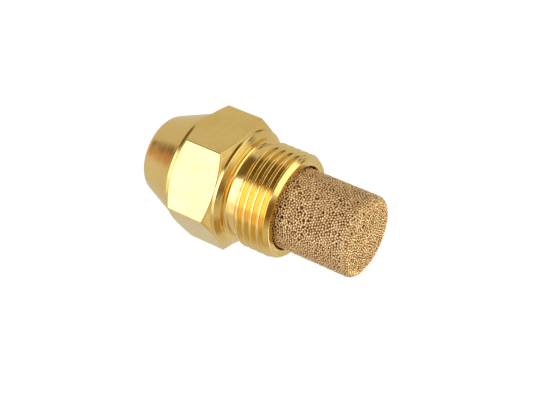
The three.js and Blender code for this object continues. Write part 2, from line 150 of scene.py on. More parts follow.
class Shell:
    """One closed turned body about the nozzle axis, filled ring by ring."""

    def __init__(self, angles):
        self.angles = angles
        self.parts, self.faces, self.count = [], [], 0

    def add(self, points):
        self.parts.append(points)
        ids = np.arange(self.count, self.count + len(points))
        self.count += len(points)
        return ids

    def ring(self, x, radius, angles=None):
        angles = self.angles if angles is None else angles
        x = np.broadcast_to(np.asarray(x, float), angles.shape)
        return self.add(np.stack([x, radius * np.cos(angles), radius * np.sin(angles)], 1))

    def strip(self, a, b):
        a_next, b_next = np.roll(a, -1), np.roll(b, -1)
        self.faces += zip(a.tolist(), a_next.tolist(), b_next.tolist(), b.tolist())

    def join(self, a, b):
        """Faces between two rings, where one may have half the columns."""
        if len(a) == len(b):
            self.strip(a, b)
            return
        flip = len(a) < len(b)
        big, small = (b, a) if flip else (a, b)
        count = len(small)
        faces = []
        for i in range(count):
            big0, big1, big2 = big[2 * i], big[2 * i + 1], big[(2 * i + 2) % len(big)]
            small0, small1 = small[i], small[(i + 1) % count]
            faces += [(big0, big1, small0), (big1, small1, small0), (big1, big2, small1)]
        # what an odd count leaves over closes on the first point
        for i in range(2 * count, len(big)):
            faces.append((big[i], big[(i + 1) % len(big)], small[0]))
        for face in faces:
            face = tuple(int(v) for v in face)
            self.faces.append(face[::-1] if flip else face)

    def fan(self, ring, centre, flip=False):
        for i, j in zip(ring.tolist(), np.roll(ring, -1).tolist()):
            self.faces.append((j, i, centre) if flip else (i, j, centre))

    def path(self, start, rows):
        """Rings at each (x, radius) of rows, joined in order from the ring start."""
        at = start
        for x, radius in rows:
            new = self.ring(x, radius)
            self.strip(at, new)
            at = new
        return at

    def helix(self, low, high, xa, xb, thread, radius, flip=False):
        """A strip between the plain rings low (at xa) and high (at xb) whose rows
        follow the thread, so that crests and roots are clean lines.
        radius(x, u) gives the radius, with u the distance from a centre."""
        columns, per_turn, pitch = len(self.angles), len(thread.offsets), thread.pitch
        base = thread.phase + pitch * math.floor((xa - pitch - thread.phase) / pitch)
        turns = int(math.ceil((xb - base) / pitch)) + 2
        rows = turns * per_turn
        snap = 0.006                # rows this near a plain ring merge into it
        grid = np.empty((columns + 1, rows), int)
        for j, angle in enumerate(self.angles):
            lead = pitch * angle / math.tau
            xs = np.concatenate([base + t * pitch + thread.offsets + lead for t in range(turns)])
            ids = np.where(xs < (xa + xb) / 2, low[j], high[j])
            inside = (xs > xa + snap) & (xs < xb - snap)
            x = xs[inside]
            r = radius(x, thread.from_centre(x, angle))
            ids[inside] = self.add(np.stack([x, r * math.cos(angle), r * math.sin(angle)], 1))
            grid[j] = ids
        # one turn further on, each row is the row one pitch ahead at angle 0
        grid[columns] = high[0]
        grid[columns, :rows - per_turn] = grid[0, per_turn:]
        for here, there in zip(grid[:-1], grid[1:]):
            for i in range(rows - 1):
                corners = (here[i], there[i], there[i + 1], here[i + 1])
                face = tuple(dict.fromkeys(int(v) for v in corners))
                if len(face) > 2:
                    self.faces.append(face[::-1] if flip else face)

    def build(self, name, crease_deg=None, attributes=None):
        return make_object(name, np.concatenate(self.parts), self.faces, crease_deg, attributes)


def make_object(name, points, faces, crease_deg, attributes):
    """A smooth object in the row frame. With crease_deg, edges turning further
    are sharp and the normals are weighted."""
    co = points * MM
    co[:, 0] += SEAL_X
    co[:, 2] += AXIS_Z
    used = np.zeros(len(co), bool)
    used[[v for face in faces for v in face]] = True
    remap = np.cumsum(used) - 1
    # turn the faces outward if the enclosed volume comes out negative
    tri = np.array([(f[0], f[i], f[i + 1]) for f in faces for i in range(1, len(f) - 1)])
    p = co - co.mean(0)
    volume = np.einsum("ij,ij->i", p[tri[:, 0]], np.cross(p[tri[:, 1]], p[tri[:, 2]])).sum()
    if volume < 0:
        faces = [face[::-1] for face in faces]
    faces = [tuple(int(remap[v]) for v in face) for face in faces]
    mesh = bpy.data.meshes.new(name)
    mesh.from_pydata(co[used].tolist(), [], faces)
    mesh.validate()
    for key, values in (attributes or {}).items():
        layer = mesh.attributes.new(key, "FLOAT", "POINT")
        layer.data.foreach_set("value", np.asarray(values, np.float32)[used])
    mesh.shade_smooth()
    obj = bpy.data.objects.new(name, mesh)
    bpy.context.scene.collection.objects.link(obj)
    if crease_deg is not None:
        mesh.set_sharp_from_angle(angle=math.radians(crease_deg))
        mod = obj.modifiers.new("even_normals", "WEIGHTED_NORMAL")
        mod.keep_sharp = True
        mod.weight = 60
    return obj


def bezier(a, b, c, t):
    return (1 - t) ** 2 * a + 2 * t * (1 - t) * b + t * t * c


def fillet(before, corner, after, edge, steps=3):
    """Points of a small round where the section turns at corner."""
    before, corner, after = (np.array(q, float) for q in (before, corner, after))
    ends = []
    for d in (before - corner, after - corner):
        length = np.linalg.norm(d)
        ends.append(corner + d / length * min(edge, 0.45 * length))
    return [bezier(ends[0], corner, ends[1], i / steps).tolist() for i in range(steps + 1)]


def section(profile, closed=False, step=None):
    """Section through the (x, radius, edge) rows of profile: edge is the length
    its fillet takes, 0 is sharp. With step, long stretches are divided."""
    out = []
    for i, (x, radius, edge) in enumerate(profile):
        if edge:
            after = profile[(i + 1) % len(profile)]
            out += fillet(profile[i - 1][:2], (x, radius), after[:2], edge)
        else:
            out.append([x, radius])
    if not step:
        return out
    full = []
    loop = out + ([out[0]] if closed else [])
    for a, b in zip(loop[:-1], loop[1:]):
        full.append(a)
        extra = int(math.dist(a, b) / step)
        for i in range(1, extra + 1):
            t = i / (extra + 1)
            full.append([a[0] + (b[0] - a[0]) * t, a[1] + (b[1] - a[1]) * t])
    if not closed:
        full.append(out[-1])
    return full


# --------------------------------------------------------------- nozzle body

def hex_columns():
    """Angles with the corners refined, and the hexagon's radius at each."""
    near = (0.16, 0.32, 0.48, 0.64)
    local = [-30] + [-30 + d for d in near] + list(np.linspace(-28.4, 28.4, 33)) \
        + [30 - d for d in near[::-1]]
    centre = HEX_CORNER_R - HEX_CORNER_FILLET / math.cos(math.radians(30))
    angles, radii = [], []
    for k in range(6):
        for deg in local:
            radius = HEX_FLATS / 2 / math.cos(math.radians(deg))
            from_corner = math.radians(30 - abs(deg))
            aside = centre * math.sin(from_corner)
            if abs(aside) < HEX_CORNER_FILLET:
                bulge = math.sqrt(HEX_CORNER_FILLET ** 2 - aside * aside)
                radius = min(radius, centre * math.cos(from_corner) + bulge)
            angles.append(math.radians(90 + 60 * k + deg))
            radii.append(radius)
    angles = np.mod(np.array(angles), math.tau)
    order = np.argsort(angles)
    return angles[order], np.array(radii)[order]


def thread_radius(u):
    """Radius of the fixing thread at a distance u from a crest."""
    d = np.abs(u) - CREST_HALF
    # rounded crest edge, then the straight flank
    e = CREST_ROUND
    d = np.where(d > e, d, np.where(d < -e, 0.0, (d + e) ** 2 / (4 * e)))
    r = THREAD_R - d * (1 / math.tan(math.radians(30)))
    # rounded root: a smooth maximum of the flank and the root radius
    h = np.clip(0.5 + 0.5 * (r - THREAD_ROOT) / ROOT_ROUND, 0, 1)
    return THREAD_ROOT + (r - THREAD_ROOT) * h + ROOT_ROUND * h * (1 - h)


def fixing_thread(shell, at):
    """Lead-in chamfer, thread and run-out, from the ring at to the neck."""
    thread = Helix(PITCH, THREAD_PHASE,
                   [0.05, CREST_HALF - CREST_ROUND, CREST_HALF, CREST_HALF + CREST_ROUND,
                    0.24, 0.34, 0.42, 0.45, 0.485])

    def lead_in(x):
        return LEAD_R + (THREAD_R - LEAD_R) / LEAD_LENGTH * x

    def start(x, u):
        """The thread groove runs out before the sealing face."""
        f = np.clip((x - 0.12) / 0.38, 0, 1)
        full = THREAD_R - (THREAD_R - thread_radius(u)) * f * f * (3 - 2 * f)
        return np.minimum(full, lead_in(x))

    def run_out(x, u):
        drop = (THREAD_R - RUNOUT_R) * (x - THREAD_END) / (RUNOUT_END - THREAD_END)
        return np.minimum(thread_radius(u), THREAD_R - drop)

    def ring_radius(x):
        return thread_radius(thread.from_centre(x, shell.angles))

    # plain rings just behind and just ahead of the chamfer's edge
    behind, ahead = LEAD_LENGTH - 0.03, LEAD_LENGTH + 0.03
    mid = shell.ring(behind, np.minimum(lead_in(behind), ring_radius(behind)))
    shell.helix(at, mid, 0.045, behind, thread, start)
    edge = shell.path(mid, [(ahead, np.minimum(THREAD_R - 0.003, ring_radius(ahead)))])
    end = shell.ring(THREAD_END, ring_radius(THREAD_END))
    shell.helix(edge, end, ahead, THREAD_END, thread, lambda x, u: thread_radius(u))
    out = shell.ring(RUNOUT_END, RUNOUT_R)
    shell.helix(end, out, THREAD_END, RUNOUT_END, thread, run_out)
    return out


def neck_rows():
    """Relief neck, shoulder and the land behind the hexagon."""
    rows = [(5.46, 6.408), (5.56, NECK_R), (6.0, NECK_R), (6.46, NECK_R)]
    centre_x, centre_r = SHOULDER_X - SHOULDER_FILLET, NECK_R + SHOULDER_FILLET
    rows += [(centre_x + SHOULDER_FILLET * math.sin(t), centre_r - SHOULDER_FILLET * math.cos(t))
             for t in np.radians([0, 12, 24, 36, 48, 60, 72, 82])]
    rows += [(SHOULDER_X, 6.86), (SHOULDER_X, 7.02), (SHOULDER_X, 7.12)]
    rows += fillet((SHOULDER_X, 7.12), (SHOULDER_X, 7.22), (7.08, 7.343), 0.05)
    rows += [(7.15, 7.429), (7.32, 7.638), (7.46, 7.809)]
    rows += fillet((7.46, 7.809), (7.55, REAR_LAND_R), (7.80, REAR_LAND_R), 0.055, steps=4)
    rows += [(x, REAR_LAND_R) for x in (7.76, 7.88, HEX_X0 - 0.012)]
    return rows + [(HEX_X0, REAR_LAND_R + 0.002)]


def chamfer_rows(hex_r, foot_x, foot_r, deg, way):
    """Rows up a chamfer cone from its foot and round its edge onto the flats,
    and the x where they end; way is +1 or -1 along x."""
    angle = math.radians(deg)
    edge_x = foot_x + way * (hex_r - foot_r) * np.tan(angle)
    edge = np.minimum(0.055, 0.4 * ((hex_r - foot_r) / math.cos(angle)))
    dx, dr = way * edge * math.sin(angle), edge * math.cos(angle)
    rows = [(foot_x + (edge_x - dx - foot_x) * t, foot_r + (hex_r - dr - foot_r) * t)
            for t in (0.3, 0.65)]
    end_x = edge_x + way * edge
    rows += [(bezier(edge_x - dx, edge_x, end_x, t), bezier(hex_r - dr, hex_r, hex_r, t))
             for t in (0.0, 0.33, 0.67, 1.0)]
    return rows, end_x


def hexagon_rows(hex_r):
    """Spanner hexagon with turned end chamfers."""
    rear, rear_x = chamfer_rows(hex_r, HEX_X0, REAR_LAND_R, REAR_CHAMFER_DEG, 1)
    front, front_x = chamfer_rows(hex_r, HEX_X1, FRONT_LAND_R, FRONT_CHAMFER_DEG, -1)
    flats = [(rear_x + (front_x - rear_x) * t, hex_r) for t in (0.12, 0.3, 0.5, 0.7, 0.88)]
    return rear + flats + front[::-1]


def nose_rows():
    """Front land, nose cone, rounded front edge, front face and front bore."""
    angle = math.radians(NOSE_DEG)

    def cone(x):
        return FRONT_LAND_R - (x - NOSE_START) * math.tan(angle)

    before, after = NOSE_START - 0.05, NOSE_START + 0.06
    rows = [(HEX_X1 + 0.004, FRONT_LAND_R + 0.02), (HEX_X1 + 0.02, FRONT_LAND_R + 0.004),
            (HEX_X1 + 0.05, FRONT_LAND_R), (NOSE_START - 0.12, FRONT_LAND_R),
            (before, FRONT_LAND_R)]
    rows += fillet((before, FRONT_LAND_R), (NOSE_START, FRONT_LAND_R),
                   (after, cone(after)), 0.05)[1:]
    rows += [(x, cone(x)) for x in (15.6, 16.2, 16.9, 17.8, 18.7, 19.6)]
    centre_x = NOSE_END - NOSE_ROUND
    centre_r = cone(centre_x) - NOSE_ROUND / math.cos(angle)
    rows += [(centre_x + NOSE_ROUND * math.sin(t), centre_r + NOSE_ROUND * math.cos(t))
             for t in np.radians(np.linspace(NOSE_DEG, 90, 16))]
    # x, radius, edge
    return rows + section([
        (NOSE_END, 3.6, 0), (NOSE_END, 3.0, 0.08), (20.65, 2.25, 0.06), (19.95, 2.25, 0.05),
        (18.25, FRONT_BORE_R, 0.05), (13.27, FRONT_BORE_R, 0)])


def screw_thread(shell, at):
    """Female thread for the lock screw, then its entry cone, going rearward."""
    full = GROOVE_HALF + GROOVE_FLANK
    thread = Helix(SCREW_PITCH, GROOVE_EDGE + full,
                   [0.05, GROOVE_HALF, 0.11, 0.24, 0.35, full, 0.40, SCREW_PITCH / 2])
    slope = (SCREW_MAJOR_R - SCREW_MINOR_R) / GROOVE_FLANK

    def groove(u, floor):
        d = np.maximum(np.abs(u) - GROOVE_HALF, 0)
        return np.maximum(floor, SCREW_MAJOR_R - d * slope)

    def groove_ring(x, floor):
        return shell.ring(x, groove(thread.from_centre(x, shell.angles), floor))

    def entry(x, u):
        along = (x - SCREW_CONE_X) / (SCREW_REAR - SCREW_CONE_X)
        return groove(u, PLUG_R - (PLUG_R - SCREW_MINOR_R) * along)

    front = groove_ring(SCREW_FRONT, FRONT_BORE_R)
    shell.strip(at, front)
    rear = groove_ring(SCREW_REAR, SCREW_MINOR_R)
    shell.helix(rear, front, SCREW_REAR, SCREW_FRONT, thread,
                lambda x, u: groove(u, SCREW_MINOR_R), flip=True)
    mouth = shell.ring(SCREW_CONE_X, PLUG_R)
    shell.helix(mouth, rear, SCREW_CONE_X, SCREW_REAR, thread, entry, flip=True)
    return mouth


def nozzle_body():
    angles, hex_r = hex_columns()
    shell = Shell(angles)
    # rear sealing face, from the bore edge outward
    first = shell.ring(0.0, BORE_EDGE_R)
    at = shell.path(first, [(0.0, 6.05), (0.0, 6.35), (0.0, 6.60), (0.012, 6.645), (0.045, 6.695)])
    at = fixing_thread(shell, at)
    at = shell.path(at, neck_rows() + hexagon_rows(hex_r) + nose_rows())
    at = screw_thread(shell, at)
    # plug bore and counterbore: x, radius, edge
    rows = section([
        (SCREW_CONE_X, PLUG_R, 0), (3.15, PLUG_R, 0.05), (2.9, 4.95, 0.05),
        (2.9, COUNTERBORE_R, 0.12), (0.11, COUNTERBORE_R, 0.03), (0.0, BORE_EDGE_R, 0)],
        step=1.2)[1:-1]
    at = shell.path(at, rows)
    shell.strip(at, first)
    return shell.build("nozzle_body_fine", crease_deg=34)


# --------------------------------------------------- orifice disc and ferrule

def turned_piece(name, x0, profile, columns, step):
    """A closed section turned about the axis, its x measured from x0."""
    shell = Shell(even_angles(columns))
    rows = section([(x0 + x, radius, edge) for x, radius, edge in profile], True, step)
    first = shell.ring(*rows[0])
    at = shell.path(first, rows[1:])
    shell.strip(at, first)
    return shell.build(name, crease_deg=40)


def orifice_disc():
    x0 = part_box("orifice_disc")[0].x / MM - SEAL_X / MM
    front = 3.75
    # x, radius, edge
    profile = [
        (0, 2.9, 0.03), (0, 3.65, 0.03), (0.15, 3.8, 0.03), (1.8, 3.8, 0.06),
        (front, 1.86, 0.06), (front, 0.75, 0.03), (front - 0.35, 0.25, 0.04),
        (2.95, 0.25, 0.05), (2.75, 0.5, 0.05), (2.4, 0.5, 0.05)]
    return turned_piece("orifice_disc_fine", x0, profile, columns=144, step=0.5)


def filter_ferrule():
    """Tube in the cup, flange at its mouth and plug ahead, x from the mouth."""
    flange, flange_r = 1.28, 5.4
    tube_r, plug_r, groove_r, bore_r, plug_end = 3.95, 4.62, 4.37, 2.7, 5.4
    # x, radius, edge
    profile = [
        (-4.2, bore_r, 0.12), (-4.2, 3.65, 0.06), (-3.9, tube_r, 0.06), (0.02, tube_r, 0.06),
        (0.02, flange_r, 0.1), (flange, flange_r, 0.1), (flange, plug_r, 0.05),
        (flange + 1.3, plug_r, 0.04), (flange + 1.5, groove_r, 0.04),
        (flange + 2.2, groove_r, 0.04), (flange + 2.4, plug_r, 0.04),
        (plug_end - 0.5, plug_r, 0.06), (plug_end, 4.12, 0.06), (plug_end, bore_r, 0.15)]
    return turned_piece("filter_ferrule_fine", CUP_MOUTH, profile, columns=180, step=0.6)


# ----------------------------------------------------------- sintered filter

def cup_meridian(along):
    """Point and normal, each (x, radius), at a length along the cup's outside."""
    if along <= SIDE_LENGTH:
        return (CUP_RIM - along, CUP_R), (0.0, 1.0)
    if along <= SIDE_LENGTH + EDGE_LENGTH:
        a = (along - SIDE_LENGTH) / CUP_EDGE
        x = CUP_BEND - CUP_EDGE * math.sin(a)
        return (x, CUP_R - CUP_EDGE + CUP_EDGE * math.cos(a)), (-math.sin(a), math.cos(a))
    return (CUP_END, CUP_R - CUP_EDGE - (along - SIDE_LENGTH - EDGE_LENGTH)), (-1.0, 0.0)


def nearest_on_cup(p):
    """Length along and angle of the points of the cup's outside nearest to p."""
    r = np.hypot(p[:, 1], p[:, 2])
    flat_r = CUP_R - CUP_EDGE
    turn = np.arctan2(np.maximum(CUP_BEND - p[:, 0], 0), np.maximum(r - flat_r, 1e-9))
    on_end = SIDE_LENGTH + EDGE_LENGTH + CUP_R - CUP_EDGE - r
    along = np.where(p[:, 0] > CUP_BEND, CUP_RIM - p[:, 0],
                     np.where(r < flat_r, on_end, SIDE_LENGTH + CUP_EDGE * turn))
    return np.clip(along, GRAIN_START, CUP_LENGTH), np.arctan2(p[:, 2], p[:, 1])


def cup_points(along, angle):
    """Points and normals of the cup's outside."""
    at = [cup_meridian(float(v)) for v in along]
    cos, sin = np.cos(angle), np.sin(angle)
    out = []
    for pairs in zip(*at):
        x, r = np.array(pairs).T
        out.append(np.stack([x, r * cos, r * sin], 1))
    return out


def point_tree(points):
    tree = kdtree.KDTree(len(points))
    for i, point in enumerate(points):
        tree.insert(point, i)
    tree.balance()
    return tree


def spread_grains(along, angle):
    """One round of pushing apart grains that lie too close."""
    reach = GRAIN * 1.03
    points, _ = cup_points(along, angle)
    tree = point_tree(points)
    own, other = [], []
    for i, point in enumerate(points):
        for _, k, _ in tree.find_range(point, reach):
            if k != i:
                own.append(i)
                other.append(k)
    gap = points[own] - points[other]
    dist = np.maximum(np.linalg.norm(gap, axis=1), 1e-6)
    push = gap / dist[:, None] * (0.42 * (reach - dist))[:, None]
    move = np.zeros_like(points)
    np.add.at(move, own, push)
    return nearest_on_cup(points + move)


def grain_centres(depth, size, packing, rounds):
    """Grains strewn over the cup's outside and pushed apart until they lie
    side by side; gives their centres and radii. packing is the share kept."""
    stray, spread = 0.30, 0.05      # scatter of place and of size
    along, angle = [], []
    for k, at in enumerate(np.arange(GRAIN_START, CUP_LENGTH, GRAIN_ROW)):
        r = cup_meridian(float(at))[0][1]
        n = max(1, int(round(math.tau * r / GRAIN)))
        keep = rng.uniform(size=n) < packing
        along.append((at + stray * GRAIN * rng.normal(size=n))[keep])
        place = np.arange(n) + 0.5 * (k % 2) + stray * rng.normal(size=n)
        angle.append((math.tau / n * place)[keep])
    along = np.clip(np.concatenate(along), GRAIN_START, CUP_LENGTH)
    angle = np.concatenate(angle)
    for _ in range(rounds):
        along, angle = spread_grains(along, angle)
    points, normals = cup_points(along, angle)
    count = len(points)
    radii = size * (1 - spread + 2 * spread * rng.uniform(size=count))
    sunk = radii + depth + rng.uniform(0, 0.04, count)
    return points - normals * sunk[:, None], radii


def cup_base():
    """Points, normals and rings of the smooth outside, its columns halved
    towards the middle of the end; the last point is the tip."""
    points, normals, rings = [], [], []
    count, along = 0, GRAIN_START
    while along < CUP_LENGTH - 0.35:
        radius = cup_meridian(along)[0][1]
        columns = CUP_COLUMNS // 2 ** sum(radius < limit for limit in (2.6, 1.3, 0.65))
        at, normal = cup_points(np.full(columns, along), even_angles(columns))
        points.append(at)
        normals.append(normal)
        rings.append(np.arange(count, count + columns))
        count += columns
        along += MESH_STEP
    points.append([[CUP_END, 0, 0]])
    normals.append([[-1.0, 0, 0]])
    return np.concatenate(points), np.concatenate(normals), rings


def grain_relief(base, normal):
    """Height of the highest of two layers of grains over each base point, with
    that grain's random shade and the distance from its crown (0) to edge (1)."""
    tree = point_tree(base)
    height = np.full(len(base), PORE_HEIGHT)
    shade = np.zeros(len(base))
    rim = np.ones(len(base))
    layers = [
        grain_centres(depth=0.0, size=0.196, packing=0.995, rounds=6),
        grain_centres(depth=0.19, size=0.200, packing=1.0, rounds=5),
    ]
    for centres, radii in layers:
        shades = rng.uniform(0, 1, len(centres))
        for centre, radius, own_shade in zip(centres, radii, shades):
            near = tree.find_range(centre, radius + 0.62)
            if not near:
                continue
            idx = np.array([k for _, k, _ in near])
            q = centre - base[idx]
            along = np.einsum("ij,ij->i", q, normal[idx])
            aside2 = np.einsum("ij,ij->i", q, q) - along ** 2
            under = aside2 < radius * radius
            idx, along, aside2 = idx[under], along[under], aside2[under]
            top = along + np.sqrt(radius * radius - aside2)
            better = top > height[idx]
            idx = idx[better]
            height[idx] = top[better]
            shade[idx] = own_shade
            rim[idx] = np.sqrt(aside2[better]) / radius
    return height, shade, rim


def cup_inside(shell, at):
    """Plain rim inside the counterbore, mouth and inside wall, from the ring at."""
    full, half, quarter = CUP_COLUMNS, CUP_COLUMNS // 2, CUP_COLUMNS // 4
    bore = CUP_R - CUP_WALL
    floor_x = CUP_END + 2.1
    # x, radius, columns
    rows = [(CUP_RIM - GRAIN_START + 0.09, CUP_R - 0.06, full),
            (CUP_RIM, CUP_R - 0.05, half), (CUP_MOUTH - 0.06, CUP_R - 0.09, half),
            (CUP_MOUTH, CUP_R - 0.2, half), (CUP_MOUTH, 4.7, quarter),
            (CUP_MOUTH, bore + 0.05, quarter), (CUP_MOUTH - 0.05, bore, quarter),
            (-0.5, bore, quarter), (-3.0, bore, quarter), (-5.5, bore, quarter),
            (CUP_END + 2.7, bore, quarter), (CUP_END + 2.35, 3.9, quarter),
            (CUP_END + 2.17, 3.7, quarter), (floor_x, 3.4, CUP_COLUMNS // 8),
            (floor_x, 1.5, CUP_COLUMNS // 16)]
    for x, radius, columns in rows:
        new = shell.ring(x, radius, even_angles(columns))
        shell.join(new, at)
        at = new
    centre = shell.add(np.array([[floor_x, 0.0, 0.0]]))
    shell.fan(at, int(centre[0]), flip=True)


def filter_element():
    base, normal, rings = cup_base()
    height, shade, rim = grain_relief(base, normal)
    points = base + normal * height[:, None]
    points[-1] = base[-1] + normal[-1] * -0.05
    shell = Shell(even_angles(CUP_COLUMNS))
    shell.add(points)
    for a, b in zip(rings[:-1], rings[1:]):
        shell.join(a, b)
    shell.fan(rings[-1], len(points) - 1)
    cup_inside(shell, rings[0])
    plain = shell.count - len(points)
    # values of the material's attributes on the plain part
    attributes = {key: np.concatenate([values, np.full(plain, rest)]) for key, values, rest in
                  (("depth", height, -0.12), ("grain", shade, 0.5), ("rim", rim, 0.6))}
    return shell.build("filter_element_grains", attributes=attributes)


# ----------------------------------------------------------------- materials

class Nodes:
    """Short ways to fill a node tree; values may be numbers or sockets."""

    def __init__(self, tree):
        self.tree = tree
        tree.nodes.clear()

    def new(self, kind):
        return self.tree.nodes.new("ShaderNode" + kind)

    def put(self, node, socket, value):
        if isinstance(value, (int, float, tuple)):
            node.inputs[socket].default_value = value
        else:
            self.tree.links.new(value, node.inputs[socket])

    def math(self, operation, a, b=None):
        node = self.new("Math")
        node.operation = operation
        self.put(node, 0, a)
        if b is not None:
            self.put(node, 1, b)
        return node.outputs[0]

    def add(self, a, b):
        return self.math("ADD", a, b)

    def mul(self, a, b):
        return self.math("MULTIPLY", a, b)

    def vmath(self, operation, a, b=None, scale=None):
        node = self.new("VectorMath")
        node.operation = operation
        self.put(node, 0, a)
        if b is not None:
            self.put(node, 1, b)
        if scale is not None:
            self.put(node, "Scale", scale)
        return node.outputs["Value" if operation in ("DOT_PRODUCT", "LENGTH") else 0]

    def combine(self, *xyz):
        node = self.new("CombineXYZ")
        for i, value in enumerate(xyz):
            self.put(node, i, value)
        return node.outputs[0]

    def noise(self, vector, scale, detail, rough=0.5):
        node = self.new("TexNoise")
        self.put(node, "Vector", vector)
        self.put(node, "Scale", scale)
        self.put(node, "Detail", detail)
        self.put(node, "Roughness", rough)
        return node.outputs[0]

    def ramp(self, value, span, to=(0.0, 1.0), smooth=True):
        """Value taken from the range span to the range to, held at its ends."""
        node = self.new("MapRange")
        node.interpolation_type = "SMOOTHSTEP" if smooth else "LINEAR"
        node.clamp = True
        self.put(node, "Value", value)
        for key, limit in zip(("From Min", "From Max", "To Min", "To Max"), (*span, *to)):
            self.put(node, key, limit)
        return node.outputs[0]

    def mix(self, factor, a, b):
        node = self.new("Mix")
        node.data_type = "RGBA"
        self.put(node, 0, factor)
        for socket, colour in ((6, a), (7, b)):
            self.put(node, socket, (*colour, 1.0) if isinstance(colour, tuple) else colour)
        return node.outputs[2]

    def bump(self, height, distance, strength, normal=None):
        node = self.new("Bump")
        self.put(node, "Distance", distance)
        self.put(node, "Strength", strength)
        self.put(node, "Height", height)
        if normal is not None:
            self.put(node, "Normal", normal)
        return node.outputs[0]

    def position(self):
        """Millimetres from the sealing face on the nozzle axis."""
        place = self.new("TexCoord").outputs["Object"]
        place = self.vmath("SUBTRACT", place, (SEAL_X, 0.0, AXIS_Z))
        return self.vmath("SCALE", place, scale=1 / MM)

    def attribute(self, name):
        node = self.new("Attribute")
        node.attribute_name = name
        return node.outputs["Fac"]


class Material(Nodes):
    """A new material with one principled surface."""

    def __init__(self, name):
        self.material = bpy.data.materials.new(name)
        self.material.use_nodes = True
        super().__init__(self.material.node_tree)
        self.out = self.new("OutputMaterial")
        self.bsdf = self.new("BsdfPrincipled")
        self.put(self.out, "Surface", self.bsdf.outputs[0])

    def set(self, socket, value):
        self.put(self.bsdf, socket, value)


def body_relief(mat, x, y, z, radius, rings):
    """Height of the body's tool marks, from that of plain turning."""
    within = mat.mul(mat.math("GREATER_THAN", x, HEX_X0 + 0.03),
                     mat.math("LESS_THAN", x, HEX_X1 - 0.03))
    on_hex = mat.mul(mat.math("GREATER_THAN", radius, REAR_LAND_R + 0.03), within)
    # the flats are drawn bar, with faint lines along the axis
    along = mat.combine(mat.mul(x, 0.05), y, z)
    draw = mat.noise(along, scale=7.0, detail=3.0, rough=0.6)
    turned = mat.mul(rings, mat.math("SUBTRACT", 1.0, on_hex))
    height = mat.add(turned, mat.mul(draw, on_hex))
    # the nose is turned finer still
    return mat.mul(height, mat.ramp(x, span=(NOSE_START, NOSE_START + 0.3), to=(1.0, 0.3)))


def turned_metal(name, light, deep, rough, hexagon=False):
    """Turned metal: tool rings about the axis, soft stains, brighter edges."""
    mat = Material(name)
    place = mat.position()
    split = mat.new("SeparateXYZ")
    mat.put(split, 0, place)
    x, y, z = split.outputs
    radius = mat.vmath("LENGTH", mat.combine(0.0, y, z))
    wobble = mat.noise(place, scale=0.35, detail=2.0)
    ring_place = mat.combine(mat.mul(x, 1.0), mat.mul(radius, 1.0), mat.mul(mat.add(y, z), 0.012))
    rings_fine = mat.noise(ring_place, scale=11.0, detail=3.0, rough=0.6)
    rings_wide = mat.noise(ring_place, scale=2.6, detail=2.0)
    stain = mat.noise(place, scale=0.22, detail=3.0, rough=0.55)
    cloud = mat.noise(place, scale=1.3, detail=4.0, rough=0.6)

    base = mat.mix(mat.ramp(stain, span=(0.3, 0.7)), light, deep)
    base = mat.mix(mat.mul(mat.ramp(cloud, span=(0.45, 0.75)), 0.25), base, deep)
    pointiness = mat.new("NewGeometry").outputs["Pointiness"]
    edge = mat.ramp(pointiness, span=(0.515, 0.56))
    bright = tuple(min(1.0, c * 1.12 + 0.03) for c in light)
    mat.set("Base Color", mat.mix(mat.mul(edge, 0.35), base, bright))
    mat.set("Metallic", 1.0)

    height = rings_fine
    if hexagon:
        # smoother behind the hexagon than on the flats and nose
        rough = mat.ramp(x, span=(7.9, 8.1), to=(0.14, rough))
        height = body_relief(mat, x, y, z, radius, rings_fine)
    spread = mat.ramp(rings_wide, span=(0.3, 0.7), to=(-0.035, 0.045))
    smudge = mat.ramp(cloud, span=(0.35, 0.75), to=(-0.02, 0.05))
    mat.set("Roughness", mat.add(mat.add(spread, rough), smudge))
    normal = mat.bump(height, distance=0.000004, strength=0.9)
    mat.set("Normal", mat.bump(wobble, distance=0.00004, strength=0.35, normal=normal))
    tangent = mat.new("Tangent")
    tangent.direction_type, tangent.axis = "RADIAL", "X"
    mat.set("Tangent", tangent.outputs[0])
    mat.set("Anisotropic", 0.35)
    return mat.material


